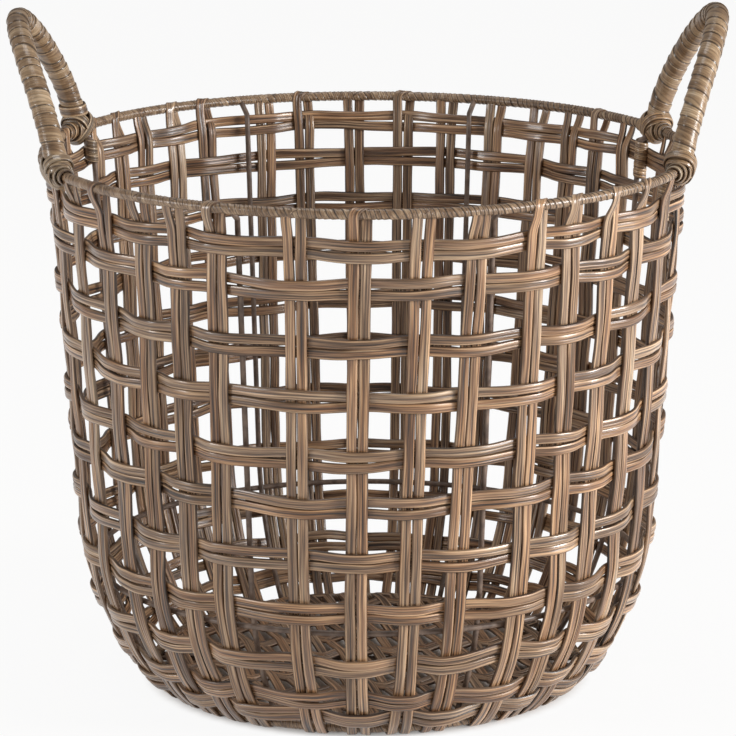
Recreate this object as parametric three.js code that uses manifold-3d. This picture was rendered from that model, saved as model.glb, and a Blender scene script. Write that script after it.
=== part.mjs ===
import * as THREE from 'three';
import { mergeVertices } from 'three/addons/utils/BufferGeometryUtils.js';
import Module from 'manifold-3d';

// Round storage basket of plastic wicker on a welded wire frame, with two rigid wrapped handles.
// Millimetres, +Z up. The origin is on the floor under the middle of the basket, and the front faces -Y.
// A compass angle is counted in degrees from the front, growing towards +X on the right.

// Body
const rimRadius = 200;
const bodyRise = 331;
const wallInset = 3.6;
const wallTaper = 0.069;
const shoulderDrop = 232.6;
const shoulderRadius = 172;

// Wicker strand: a flat oval strip, always laid in pairs
const strandWidth = 6.3;
const strandThickness = 1.6;
const strandSpacing = 6.7;
const clearance = 0.3;
const weaveEase = 0.12;

// Wire frame
const hoopWireRadius = 1.75;
const uprightWireRadius = 1.4;
const uprightInset = 7.6;
const uprightEntry = { inward: 5, above: 6 };
const crossWireLift = 0.6;
const handleRodRadius = 3.4;

// Binding strip round the two hoops, each open on the hidden side where the uprights come in
const bindingThickness = 0.65;
const bindingFacets = 3;
const rimOpening = { middle: 210, angle: 130 };
const baseOpening = { middle: 140, angle: 138 };

// Handles
const handleOutward = 30;
const handleBend = 1.4;
const handleRoundness = 1.75;
// How high each arch rises and how far its top sits towards its second leg
const handleShapes = {
  left: { rise: 80, aside: -10.7 },
  right: { rise: 83, aside: 8 },
};
// Each handle leg stands between two stakes: after this stake, by this share of the space to the next one
const handleLegs = {
  left: [{ stake: 26, share: 0.48 }, { stake: 31, share: 0.55 }],
  right: [{ stake: 7, share: 0.44 }, { stake: 11, share: 0.4 }],
};
const wrapWidth = 8.4;
const wrapThickness = 2.2;
const wrapLoops = 20;
const wrapFirst = 15;

// Lashing that ties each handle leg to the rim
const lashingWidth = 5;
const lashingThickness = 1.4;
const lashingReach = 11.6;
const lashingOutlineShare = 0.52;
const lashingLeanRoom = 2.8;
const lashingInnerRoom = 1.7;

// Stakes: compass angle of each pair at the rim and at the base, as they were laid by hand
const stakeAngles = [
  [-1, -2], [9.6, 8.1], [19.4, 17], [30.4, 30.2], [37.8, 39.3], [47.4, 46.8], [56.2, 56.5],
  [66.8, 66.5], [78.5, 77.5], [88.5, 88], [97.5, 98], [106.2, 107.5], [121.9, 120], [130, 129.8],
  [136.8, 138.3], [144.8, 146.5], [154.3, 155], [164.3, 163.8], [172.8, 172.8], [182.5, 182],
  [192.5, 191.8], [200.1, 201], [212.9, 212], [220, 220.3], [228, 228.7], [234.7, 236.2],
  [242.3, 244], [253.5, 253], [261.5, 261.5], [269.5, 270], [277.2, 278], [284.5, 286.5],
  [297.2, 296], [307.5, 307], [317.8, 315.8], [325.7, 324.2], [333.7, 331.8], [347.9, 347.1],
];
const hookLength = 14;

// Weaver rows: how far the middle of each pair lies below the rim, at the front and at the back
const rowDrops = [
  [22.5, 16], [46, 40], [81.5, 70], [114.5, 103], [150, 136], [179, 166.5],
  [213.5, 200], [246.5, 238.5], [281, 273.5], [307, 299], [320.5, 318],
];

// Compass angles of the four plain uprights, each in a wide gap between two stakes. Four more stand under the
// handle legs.
const uprightAngles = [22.9, 158.8, 204.8, 336.7];

// Base mat: its two families of pairs lie askew to the front
const matPitch = 34;
const matReach = [3, 3, 2, 1];
const matTurnSpace = 0.5;
const matTurn = [15, 105];

// Round pieces are cut into this many facets
const rimFacets = 30;
const baseFacets = 22;
const waistFacets = 21;
const wireSides = 5;
const uprightSides = 4;
const wrapStepsPerLoop = 5;

const wasm = await Module();
wasm.setup();

const radians = THREE.MathUtils.degToRad;
const up = new THREE.Vector3(0, 0, 1);

// Unit vectors away from the axis and along the wall at a compass angle
const outward = (angle) => new THREE.Vector3(Math.sin(radians(angle)), -Math.cos(radians(angle)), 0);
const sideways = (angle) => new THREE.Vector3(Math.cos(radians(angle)), Math.sin(radians(angle)), 0);

// Point at a compass angle, a radius and a height, moved sideways along the wall
function pointAt(angle, radius, height, aside = 0) {
  return outward(angle).multiplyScalar(radius).addScaledVector(sideways(angle), aside).addScaledVector(up, height);
}

// Radius of the stakes' middle surface at a drop below the rim: a cone, then a round shoulder
function wallRadius(drop) {
  const straight = rimRadius - wallInset - wallTaper * Math.min(drop, shoulderDrop);
  if (drop <= shoulderDrop) return straight;
  const startAngle = Math.atan(wallTaper);
  const sine = Math.sin(startAngle) + (drop - shoulderDrop) / shoulderRadius;
  return straight - shoulderRadius * (Math.cos(startAngle) - Math.sqrt(1 - sine * sine));
}

// Binding sizes, and how far a stake's middle keeps from a bound hoop's middle
const bindingFacetAngle = (360 - rimOpening.angle) / bindingFacets;
const bindingInner = (hoopWireRadius + clearance) / Math.cos(radians(bindingFacetAngle / 2));
const bindingOuter = bindingInner + bindingThickness;
const hoopStandOff = bindingOuter + clearance + strandThickness / 2;
const facetSag = (radius, facets) => radius * (1 - Math.cos(Math.PI / facets));
const rimInnerStandOff = hoopStandOff + facetSag(rimRadius, rimFacets);

// Heights above the floor
const hookHeight = strandThickness / 2;
const baseHoopHeight = hookHeight + hoopStandOff;
const rimHeight = baseHoopHeight + bodyRise;

// Drop of a row's middle at a compass angle, which passes evenly from the front's to the back's
function rowDrop(row, angle) {
  const [front, back] = rowDrops[row];
  return (front + back) / 2 + ((front - back) / 2) * Math.cos(radians(angle));
}

// The stakes bend between the rows, so each row crosses them on a straight stretch
const joinDrop = rowDrops[0][1] - strandSpacing;
const shoulderBends = [7, 8, 9].map((row) => (rowDrops[row][0] + rowDrops[row + 1][1]) / 2);
const hookDrop = bodyRise + hoopStandOff;
const bendDrops = [joinDrop, shoulderDrop, ...shoulderBends, hookDrop];

// Radius and slope of the bent stakes at a drop: the wall that the rows really meet
const bends = bendDrops.map((drop) => new THREE.Vector2(wallRadius(drop), drop));
function stakeWall(drop) {
  let i = 1;
  while (i < bends.length - 1 && bends[i].y < drop) i += 1;
  const a = bends[i - 1];
  const b = bends[i];
  const slope = (a.x - b.x) / (b.y - a.y);
  return { radius: a.x - slope * (drop - a.y), lean: Math.atan(slope) };
}

// The base hoop lies against the inside of the stakes' last stretch
const lastStretch = stakeWall(bodyRise);
const baseHoopRadius = lastStretch.radius - hoopStandOff / Math.cos(lastStretch.lean);

// Compass angle of a stake at a drop below the rim
function stakeAngle(stake, drop) {
  const [top, base] = stakeAngles[stake];
  const share = THREE.MathUtils.clamp((drop - joinDrop) / (shoulderDrop - joinDrop), 0, 1);
  return top + (base - top) * share;
}

// Solid swept along a line of points. The section is a closed outline of [across, through] offsets, across
// runs along the given direction at each point, and each bend is mitred so that the section keeps its size.
function sweep(points, across, section, closed = false) {
  const count = points.length;
  const positions = [];
  const indices = [];
  const n = section.length;
  for (let i = 0; i < count; i += 1) {
    const before = closed ? points[(i + count - 1) % count] : points[Math.max(i - 1, 0)];
    const after = closed ? points[(i + 1) % count] : points[Math.min(i + 1, count - 1)];
    const inward = points[i].clone().sub(before).normalize();
    const onward = after.clone().sub(points[i]).normalize();
    if (inward.lengthSq() === 0) inward.copy(onward);
    if (onward.lengthSq() === 0) onward.copy(inward);
    const tangent = inward.clone().add(onward).normalize();
    const through = tangent.clone().cross(across[i]).normalize();
    const turn = onward.clone().sub(inward);
    const stretch = 1 / Math.max(inward.dot(tangent), 0.5) - 1;
    if (turn.lengthSq() > 0) turn.normalize();
    for (const [a, t] of section) {
      const offset = across[i].clone().multiplyScalar(a).addScaledVector(through, t);
      offset.addScaledVector(turn, offset.dot(turn) * stretch);
      positions.push(...points[i].clone().add(offset).toArray());
    }
  }
  const rings = closed ? count : count - 1;
  for (let i = 0; i < rings; i += 1) {
    const a = i * n;
    const b = ((i + 1) % count) * n;
    for (let k = 0; k < n; k += 1) {
      const l = (k + 1) % n;
      indices.push(a + k, a + l, b + l, a + k, b + l, b + k);
    }
  }
  if (!closed) {
    for (let k = 1; k < n - 1; k += 1) {
      indices.push(0, k + 1, k);
      indices.push((count - 1) * n, (count - 1) * n + k, (count - 1) * n + k + 1);
    }
  }
  const geometry = new THREE.BufferGeometry();
  geometry.setAttribute('position', new THREE.Float32BufferAttribute(positions, 3));
  geometry.setIndex(indices);
  return facingOut(geometry);
}

// Turns a closed surface right side out when its enclosed volume comes out negative
function facingOut(geometry) {
  const corners = geometry.attributes.position;
  const order = geometry.index.array;
  const corner = (k) => new THREE.Vector3().fromBufferAttribute(corners, order[k]);
  let volume = 0;
  for (let k = 0; k < order.length; k += 3) {
    volume += corner(k).dot(corner(k + 1).cross(corner(k + 2))) / 6;
  }
  if (volume < 0) geometry.setIndex(Array.from(order).reverse());
  return geometry;
}

// Flat strip section and round wire section
function flatSection(width, thickness) {
  const w = width / 2;
  const t = thickness / 2;
  return [[-w, -t], [w, -t], [w, t], [-w, t]];
}
function roundSection(radius, sides) {
  const corner = (k) => (2 * Math.PI * (k + 0.5)) / sides;
  return Array.from({ length: sides }, (_, k) => [radius * Math.cos(corner(k)), radius * Math.sin(corner(k))]);
}
const strandSection = flatSection(strandWidth, strandThickness);

// Ring of revolution about the basket's axis. The outline holds [outward, upward] offsets from the hoop's middle.
function ringOf(outline, radius, height, facets) {
  const profile = [...outline, outline[0]].map(([r, z]) => new THREE.Vector2(radius + r, z));
  const ring = new THREE.LatheGeometry(profile, facets).rotateX(Math.PI / 2).translate(0, 0, height);
  return facingOut(ring);
}

// Joining and cutting of closed solids
function toManifold(geometry) {
  const plain = geometry.index ? geometry.toNonIndexed() : geometry.clone();
  plain.deleteAttribute('normal');
  plain.deleteAttribute('uv');
  const merged = mergeVertices(plain, 1e-4);
  const vertProperties = new Float32Array(merged.attributes.position.array);
  const triVerts = new Uint32Array(merged.index.array);
  return new wasm.Manifold(new wasm.Mesh({ numProp: 3, vertProperties, triVerts }));
}
function toGeometry(solid) {
  const mesh = solid.getMesh();
  const geometry = new THREE.BufferGeometry();
  geometry.setAttribute('position', new THREE.Float32BufferAttribute(mesh.vertProperties, 3));
  geometry.setIndex(new THREE.Uint32BufferAttribute(mesh.triVerts, 1));
  return geometry;
}

// Compass angle of a handle leg at the rim
function legAngle({ stake, share }) {
  const [before] = stakeAngles[stake];
  const [after] = stakeAngles[stake + 1];
  return before + (after - before) * share;
}

// Handle: the rod's middle line is an arch that rises upright from the rim hoop and then bends outward
class HandleArch extends THREE.Curve {
  constructor(legs, shape) {
    super();
    const [from, to] = legs.map(legAngle);
    const halfSpan = (to - from) / 2;
    this.shape = shape;
    this.middle = (from + to) / 2;
    this.halfWidth = rimRadius * Math.sin(radians(halfSpan));
    this.footRadius = rimRadius * Math.cos(radians(halfSpan));
    const rise = outward(this.middle).multiplyScalar(handleOutward).addScaledVector(up, shape.rise);
    this.flat = sideways(this.middle).cross(rise).normalize();
  }
  getPoint(t, target = new THREE.Vector3()) {
    const power = 2 / handleRoundness;
    const c = Math.cos(Math.PI * t);
    const s = Math.max(Math.sin(Math.PI * t), 0);
    const risen = s ** power;
    const aside = this.halfWidth * Math.sign(c) * Math.abs(c) ** power + this.shape.aside * risen;
    const radius = this.footRadius + handleOutward * risen ** handleBend;
    return target.copy(pointAt(this.middle, radius, rimHeight + this.shape.rise * risen, aside));
  }
  legDirection(end) {
    return this.getPointAt(Math.abs(end - 1 / rodSteps)).sub(this.getPoint(end)).normalize();
  }
}
const handles = {
  left: new HandleArch(handleLegs.left, handleShapes.left),
  right: new HandleArch(handleLegs.right, handleShapes.right),
};
for (const arch of Object.values(handles)) arch.arcLengthDivisions = 400;

// Frame: three hoops, eight uprights, two handle rods and two wires across the base, welded into one piece.
// The waist hoop runs round the outside of the uprights, at the first bend of the shoulder. The wires that end on
// the base hoop stop at the middle of its flats.
const rodSteps = 20;
const baseWireEnd = baseHoopRadius - facetSag(baseHoopRadius, baseFacets);
const waistDrop = shoulderBends[0];
const weldDepth = 0.5;
const waistInset = uprightInset - uprightWireRadius - hoopWireRadius + weldDepth;
function makeHoop(radius, height, facets) {
  return ringOf(roundSection(hoopWireRadius, wireSides), radius, height, facets);
}
function makeUpright(angle) {
  const top = rimRadius - wallRadius(0) + uprightInset;
  const drops = [top, shoulderDrop, ...shoulderBends];
  const points = drops.map((drop) => pointAt(angle, wallRadius(drop) - uprightInset, rimHeight - drop));
  points.unshift(pointAt(angle, rimRadius, rimHeight));
  points.push(pointAt(angle, baseHoopRadius - uprightEntry.inward, baseHoopHeight + uprightEntry.above));
  points.push(pointAt(angle, baseWireEnd, baseHoopHeight));
  return sweep(points, points.map(() => sideways(angle)), roundSection(uprightWireRadius, uprightSides));
}
function makeHandleRod(arch) {
  const points = arch.getSpacedPoints(rodSteps);
  return sweep(points, points.map(() => arch.flat), roundSection(handleRodRadius, wireSides));
}
function makeCrossWire(angle) {
  const points = [0, 180].map((turn) => pointAt(angle + turn, baseWireEnd, baseHoopHeight + crossWireLift));
  return sweep(points, points.map(() => up), roundSection(uprightWireRadius, wireSides));
}
function makeWireFrame() {
  const pieces = [
    makeHoop(rimRadius, rimHeight, rimFacets),
    makeHoop(baseHoopRadius, baseHoopHeight, baseFacets),
    makeHoop(wallRadius(waistDrop) - waistInset, rimHeight - waistDrop, waistFacets),
    ...[...uprightAngles, ...Object.values(handleLegs).flat().map(legAngle)].map(makeUpright),
    ...Object.values(handles).map(makeHandleRod),
    makeCrossWire(0),
    makeCrossWire(90),
  ];
  return toGeometry(pieces.map(toManifold).reduce((whole, piece) => whole.add(piece)));
}

// Binding: an open sleeve round a hoop, notched where the handle legs rise out of it
function makeBinding(radius, height, facets, opening) {
  const first = opening.middle + opening.angle / 2;
  const step = (360 - opening.angle) / bindingFacets;
  const arc = (size) => Array.from({ length: bindingFacets + 1 }, (_, k) => {
    const angle = radians(first + step * k);
    return [size * Math.cos(angle), size * Math.sin(angle)];
  });
  return ringOf([...arc(bindingInner), ...arc(bindingOuter).reverse()], radius, height, facets);
}
const notchHalf = handleRodRadius + clearance + 0.1;
const notchDepth = 0.5;
function makeRimBinding() {
  let sleeve = toManifold(makeBinding(rimRadius, rimHeight, rimFacets, rimOpening));
  for (const arch of Object.values(handles)) {
    for (const end of [0, 1]) {
      const foot = arch.getPoint(end);
      const angle = THREE.MathUtils.radToDeg(Math.atan2(foot.x, -foot.y));
      const notch = new THREE.BoxGeometry(2 * notchHalf, 4 * bindingOuter, 2 * bindingOuter);
      notch.translate(0, 0, bindingOuter - notchDepth);
      const rise = arch.legDirection(end);
      const depth = rise.clone().cross(sideways(angle)).normalize();
      const basis = new THREE.Matrix4().makeBasis(depth.clone().cross(rise), depth, rise);
      notch.applyMatrix4(basis.setPosition(foot));
      sleeve = sleeve.subtract(toManifold(notch));
    }
  }
  return toGeometry(sleeve);
}

// Stake: one strand folded over the rim. Its inner and outer legs run down side by side and hook under the base.
function makeStake(stake) {
  const half = strandSpacing / 2;
  const corner = hoopStandOff * Math.tan(Math.PI / 8);
  const innerCorner = rimInnerStandOff - hoopStandOff + corner;
  const topAngle = stakeAngle(stake, 0);
  const overRim = [
    [hoopStandOff, -corner, -half],
    [hoopStandOff, corner, -half],
    [corner, hoopStandOff, -half / 3],
    [-innerCorner, hoopStandOff, half / 3],
    [-rimInnerStandOff, corner, half],
  ];
  const leg = (aside) => [
    pointAt(stakeAngle(stake, hookDrop), bends.at(-1).x - hookLength, hookHeight, aside),
    ...bends.toReversed().map((bend) => pointAt(stakeAngle(stake, bend.y), bend.x, rimHeight - bend.y, aside)),
  ];
  const over = overRim.map(([out, rise, aside]) => pointAt(topAngle, rimRadius + out, rimHeight + rise, aside));
  const points = [...leg(-half), ...over, ...leg(half).reverse()];
  const across = points.map((point) => sideways(stakeAngle(stake, rimHeight - point.z)));
  return sweep(points, across, strandSection);
}

// How far a row's middle stands off the stakes' middle at each crossing. The strand runs straight between
// crossings, so it stands off further where the next stake is near.
const isOutside = (row, stake) => (row + stake) % 2 === 0;
function rowStandOffs(row) {
  const count = stakeAngles.length;
  const angles = stakeAngles.map(([top], stake) => stakeAngle(stake, rowDrop(row, top)));
  const least = strandThickness + clearance + weaveEase;
  const halfPair = (strandSpacing + strandWidth) / 2 + clearance / 2;
  const spans = angles.map((angle, i) => radians((angles[(i + 1) % count] - angle + 360) % 360));
  let offsets = stakeAngles.map(() => least);
  const passes = 40;
  for (let pass = 0; pass < passes; pass += 1) {
    offsets = offsets.map((_, i) => {
      const { radius, lean } = stakeWall(rowDrop(row, angles[i]));
      const sides = [
        [spans[i], offsets[(i + 1) % count]],
        [spans[(i + count - 1) % count], offsets[(i + count - 1) % count]],
      ];
      const needed = sides.map(([span, other]) => {
        const share = halfPair / (radius * Math.sin(span));
        const dip = radius * (1 - Math.cos(span)) * Math.cos(lean) * (isOutside(row, i) ? 1 : -1);
        return (least + share * (other + dip)) / (1 - share);
      });
      return Math.max(least, ...needed);
    });
  }
  return offsets;
}

// Weaver row: one strand that goes round twice, the second turn lying under the first. It steps down from
// one turn to the next between two stakes at a side of the basket.
const seamStakes = [9, 29];
function makeRow(row) {
  const offsets = rowStandOffs(row);
  const count = stakeAngles.length;
  const first = seamStakes[row % seamStakes.length] + 1;
  const points = [];
  const across = [];
  for (let step = 0; step < 2 * count; step += 1) {
    const stake = (first + step) % count;
    const drop = rowDrop(row, stakeAngles[stake][0]);
    const { radius, lean } = stakeWall(drop);
    const angle = stakeAngle(stake, drop);
    const along = (step < count ? 0.5 : -0.5) * strandSpacing;
    const off = offsets[stake] * (isOutside(row, stake) ? 1 : -1);
    const r = radius + along * Math.sin(lean) + off * Math.cos(lean);
    const z = rimHeight - drop + along * Math.cos(lean) - off * Math.sin(lean);
    points.push(pointAt(angle, r, z));
    across.push(outward(angle).multiplyScalar(Math.sin(lean)).addScaledVector(up, Math.cos(lean)));
  }
  return sweep(points, across, strandSection);
}

// Base mat: two strands that run back and forth in pairs, one family across the other, inside the base hoop
const matHalfPair = (strandSpacing + strandWidth) / 2 + clearance / 2;
const matLift = (strandThickness + clearance + weaveEase) / 2 / (1 - (2 * matHalfPair) / matPitch);
const matSeat = baseHoopHeight + crossWireLift + uprightWireRadius + clearance;
const matHeight = matSeat + matLift + strandThickness / 2;
function makeMat(family) {
  const points = [];
  const most = matReach.length - 1;
  let direction = 1;
  for (let pair = -most; pair <= most; pair += 1) {
    const reach = matReach[Math.abs(pair)];
    const end = reach * matPitch + matHalfPair + matTurnSpace + strandWidth / 2;
    for (const side of [-0.5, 0.5]) {
      const aside = pair * matPitch + side * strandSpacing;
      const lift = (cross) => ((pair + cross + family) % 2 === 0 ? matLift : -matLift);
      const line = [new THREE.Vector3(-direction * end, aside, lift(reach))];
      for (let k = -reach; k <= reach; k += 1) {
        line.push(new THREE.Vector3(direction * k * matPitch, aside, lift(k)));
      }
      line.push(new THREE.Vector3(direction * end, aside, lift(reach)));
      points.push(...line);
      direction = -direction;
    }
  }
  const turned = points.map((point) => point.applyAxisAngle(up, radians(matTurn[family])));
  const placed = turned.map((point) => point.setZ(point.z + matHeight));
  const across = placed.map((point, i) => {
    const before = placed[Math.max(i - 1, 0)];
    const after = placed[Math.min(i + 1, placed.length - 1)];
    const inward = point.clone().sub(before).setZ(0).normalize();
    const onward = after.clone().sub(point).setZ(0).normalize();
    return up.clone().cross(inward.add(onward)).normalize();
  });
  return sweep(placed, across, strandSection);
}

// Handle wrap: one strip wound round the rod, with straight ends that meet the lashings
const rodSag = 0.8;
const wrapInner = (handleRodRadius + rodSag) / Math.cos(Math.PI / wrapStepsPerLoop);
const wrapMiddle = wrapInner + wrapThickness / 2;
function makeHandleWrap(arch, name) {
  const length = arch.getLength();
  const steps = wrapLoops * wrapStepsPerLoop;
  const points = [];
  const across = [];
  for (let i = 0; i <= steps; i += 1) {
    const share = (wrapFirst + ((length - 2 * wrapFirst) * i) / steps) / length;
    const tangent = arch.getTangentAt(share);
    const inPlane = tangent.clone().cross(arch.flat).normalize();
    const square = inPlane.clone().cross(tangent).normalize();
    const turn = (2 * Math.PI * i) / wrapStepsPerLoop;
    const spoke = inPlane.multiplyScalar(Math.cos(turn)).addScaledVector(square, Math.sin(turn));
    points.push(arch.getPointAt(share).addScaledVector(spoke, wrapMiddle));
    across.push(tangent);
  }
  const geometry = sweep(points, across, flatSection(wrapWidth, wrapThickness));
  reportLeastGap(geometry, name);
  return geometry;
}

// Least distance between the facing edges of neighbouring loops of a wrap
function reportLeastGap(geometry, name) {
  const corners = geometry.attributes.position;
  const cornersPerStep = 4;
  const corner = (step, k) => new THREE.Vector3().fromBufferAttribute(corners, step * cornersPerStep + k);
  const steps = corners.count / cornersPerStep;
  let least = Infinity;
  for (let i = 0; i + wrapStepsPerLoop < steps; i += 1) {
    for (let a = 0; a < cornersPerStep; a += 1) {
      for (let b = 0; b < cornersPerStep; b += 1) {
        least = Math.min(least, corner(i, a).distanceTo(corner(i + wrapStepsPerLoop, b)));
      }
    }
  }
  console.log(`${name}: least gap between loops ${least.toFixed(2)} mm`);
}

// Lashing: two crossed loops of strip that hold a handle leg to the rim
const lashingDepth = Math.max(bindingOuter, handleRodRadius) + clearance + lashingThickness / 2;
const lashingOuterDepth = lashingDepth + lashingLeanRoom;
const lashingInnerDepth = lashingDepth + facetSag(rimRadius, rimFacets) + lashingInnerRoom;
function makeLashing(arch, end) {
  const foot = arch.getPoint(end);
  const angle = THREE.MathUtils.radToDeg(Math.atan2(foot.x, -foot.y));
  const rise = arch.legDirection(end).add(up).normalize();
  const depth = sideways(angle).cross(rise).normalize();
  const loops = [1, -1].map((lean) => {
    const along = sideways(angle).multiplyScalar(lean).add(rise).normalize();
    const across = along.clone().cross(depth).normalize();
    const near = lashingOutlineShare * lashingReach;
    const outline = [
      [lashingReach, 0],
      [near, lashingOuterDepth],
      [-near, lashingOuterDepth],
      [-lashingReach, 0],
      [-near, -lashingInnerDepth],
      [near, -lashingInnerDepth],
    ];
    const points = outline.map(([a, d]) => foot.clone().addScaledVector(along, a).addScaledVector(depth, d));
    return sweep(points, points.map(() => across), flatSection(lashingWidth, lashingThickness), true);
  });
  return toGeometry(toManifold(loops[0]).add(toManifold(loops[1])));
}

const strandColour = { color: 0x96806a, roughness: 0.5, metalness: 0 };
const mattedColour = { color: 0x8c7660, roughness: 0.55, metalness: 0 };
const wrapColour = { color: 0xa08a6c, roughness: 0.42, metalness: 0 };
const wireColour = { color: 0x5c5048, roughness: 0.45, metalness: 0.6 };

const basket = new THREE.Group();
function addPiece(name, geometry, finish) {
  const mesh = new THREE.Mesh(geometry, new THREE.MeshStandardMaterial(finish));
  mesh.name = name;
  basket.add(mesh);
}
const numbered = (name, index) => `${name}_${String(index + 1).padStart(2, '0')}`;

addPiece('wire_frame', makeWireFrame(), wireColour);
addPiece('rim_binding', makeRimBinding(), wrapColour);
addPiece('base_binding', makeBinding(baseHoopRadius, baseHoopHeight, baseFacets, baseOpening), wrapColour);
for (const [side, arch] of Object.entries(handles)) {
  addPiece(`handle_wrap_${side}`, makeHandleWrap(arch, `handle_wrap_${side}`), wrapColour);
  addPiece(`lashing_${side}_a`, makeLashing(arch, 0), wrapColour);
  addPiece(`lashing_${side}_b`, makeLashing(arch, 1), wrapColour);
}
stakeAngles.forEach((_, stake) => addPiece(numbered('stake', stake), makeStake(stake), strandColour));
rowDrops.forEach((_, row) => addPiece(numbered('weaver_row', row), makeRow(row), strandColour));
addPiece('base_mat_warp', makeMat(0), mattedColour);
addPiece('base_mat_weft', makeMat(1), mattedColour);

export default basket;
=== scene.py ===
import math

import bmesh
import bpy
import numpy as np
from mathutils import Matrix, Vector


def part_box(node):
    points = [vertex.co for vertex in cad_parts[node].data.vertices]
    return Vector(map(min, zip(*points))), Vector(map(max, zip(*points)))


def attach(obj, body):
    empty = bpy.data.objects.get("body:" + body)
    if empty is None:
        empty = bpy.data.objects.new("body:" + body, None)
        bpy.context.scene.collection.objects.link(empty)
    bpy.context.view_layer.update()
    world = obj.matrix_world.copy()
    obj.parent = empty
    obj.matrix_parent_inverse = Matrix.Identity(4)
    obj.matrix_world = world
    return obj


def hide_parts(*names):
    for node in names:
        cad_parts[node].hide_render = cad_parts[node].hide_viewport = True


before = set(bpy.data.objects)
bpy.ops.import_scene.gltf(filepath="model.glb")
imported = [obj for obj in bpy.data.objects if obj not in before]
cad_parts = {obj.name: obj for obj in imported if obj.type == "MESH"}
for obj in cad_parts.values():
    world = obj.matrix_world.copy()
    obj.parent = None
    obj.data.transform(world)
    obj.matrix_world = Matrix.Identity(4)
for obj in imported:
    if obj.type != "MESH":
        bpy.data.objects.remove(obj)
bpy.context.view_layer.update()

# Round storage basket of plastic wicker on a wire frame. Sizes are in millimetres and compass angles in
# degrees from the front, growing towards +X, as in the part's source. Meshes are written in metres.
MM = 0.001
UP = np.array([0.0, 0.0, 1.0])

# Body
RIM_RADIUS = 200
WALL_INSET = 3.6
WALL_TAPER = 0.069
CONE_LEAN = math.atan(WALL_TAPER)
SHOULDER_DROP = 232.6
SHOULDER_RADIUS = 172
LEAN_SINE_LIMIT = 0.999
BASE_DROP = 331

# Bound hoops, from the frame: the middle of each and how far its binding stands out
BINDING_SIZE = 3.26
rim_low, rim_high = (corner.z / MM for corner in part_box("rim_binding"))
base_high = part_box("base_binding")[1] / MM
RIM_HEIGHT = (rim_low + rim_high) / 2
BASE_HEIGHT = RIM_HEIGHT - BASE_DROP
BASE_RADIUS = base_high.y - BINDING_SIZE

# Compass angle of each stake at the rim and at the base
STAKES = (
    (-1, -2), (9.6, 8.1), (19.4, 17), (30.4, 30.2), (37.8, 39.3), (47.4, 46.8), (56.2, 56.5), (66.8, 66.5),
    (78.5, 77.5), (88.5, 88), (97.5, 98), (106.2, 107.5), (121.9, 120), (130, 129.8), (136.8, 138.3),
    (144.8, 146.5), (154.3, 155), (164.3, 163.8), (172.8, 172.8), (182.5, 182), (192.5, 191.8), (200.1, 201),
    (212.9, 212), (220, 220.3), (228, 228.7), (234.7, 236.2), (242.3, 244), (253.5, 253), (261.5, 261.5),
    (269.5, 270), (277.2, 278), (284.5, 286.5), (297.2, 296), (307.5, 307), (317.8, 315.8), (325.7, 324.2),
    (333.7, 331.8), (347.9, 347.1),
)

# How far below the rim each weaver row runs, at the front and at the back
ROW_DROPS = (
    (22.5, 16), (46, 40), (81.5, 70), (114.5, 103), (150, 136), (179, 166.5), (213.5, 200), (246.5, 238.5),
    (281, 273.5), (307, 299), (320.5, 318),
)

# Compass angles of the wire uprights and of each handle's legs
UPRIGHTS = (22.9, 158.8, 204.8, 336.7)
HANDLE_LEGS = {"left": (247.7, 291.5), "right": (71.95, 112.5)}


# Places on the basket


def outward(angle):
    turn = np.radians(angle)
    return np.stack([np.sin(turn), -np.cos(turn), np.zeros_like(turn)], -1)


def sideways(angle):
    """Level directions along the wall, towards greater angles."""
    turn = np.radians(angle)
    return np.stack([np.cos(turn), np.sin(turn), np.zeros_like(turn)], -1)


def place(angle, radius, height, aside=0.0):
    """Points at compass angles, radii and heights, moved sideways along the wall."""
    values = (np.asarray(value, float) for value in (angle, radius, height, aside))
    angle, radius, height, aside = np.broadcast_arrays(*values)
    up = np.zeros(angle.shape + (3,))
    up[..., 2] = height
    return outward(angle) * radius[..., None] + sideways(angle) * aside[..., None] + up


def lean_sine(drop):
    """Sine of the wall's angle from upright: even down the cone, then growing round the shoulder."""
    past_cone = np.maximum(np.asarray(drop, float) - SHOULDER_DROP, 0)
    return np.minimum(math.sin(CONE_LEAN) + past_cone / SHOULDER_RADIUS, LEAN_SINE_LIMIT)


def wall_radius(drop):
    """Radius of the wall's middle surface: a cone, then a round shoulder."""
    cone = RIM_RADIUS - WALL_INSET - WALL_TAPER * np.minimum(drop, SHOULDER_DROP)
    return cone - SHOULDER_RADIUS * (math.cos(CONE_LEAN) - np.sqrt(1 - lean_sine(drop) ** 2))


def wall_lean(drop):
    """Angle of the wall from upright, in radians."""
    return np.arcsin(lean_sine(drop))


def stake_angle(stake, drop):
    top, base = STAKES[stake]
    return top + (base - top) * np.clip(np.asarray(drop, float) / SHOULDER_DROP, 0, 1)


def row_drop(row, angle):
    front, back = ROW_DROPS[row]
    return (front + back) / 2 + (front - back) / 2 * np.cos(np.radians(angle))


def is_outside(row, stake):
    """Whether a row passes outside a stake."""
    return (row + stake) % 2 == 0


def ease(share):
    return 0.5 - 0.5 * np.cos(np.pi * np.clip(share, 0, 1))


def span_at(knots, values):
    """The number of the span between two knots in which each value lies."""
    return np.clip(np.searchsorted(knots, values, side="right") - 1, 0, len(knots) - 2)


# Sways: each is a pair of a wavelength and a size, and is the sum of these waves, given as shares of both

SWAY_WAVES = ((1, 0.6), (0.53, 0.35), (0.31, 0.2))


def wander(rng, travel, wavelength, size):
    """A smooth random sway along a length."""

    def wave(scale, share):
        return share * np.sin(2 * np.pi * (travel / (wavelength * scale) + rng.random()))

    return size * sum(wave(scale, share) for scale, share in SWAY_WAVES)


# Lines and skins. Points of a skin that are closer than the gap, in metres, become one.

MERGE_GAP = 1e-7


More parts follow.
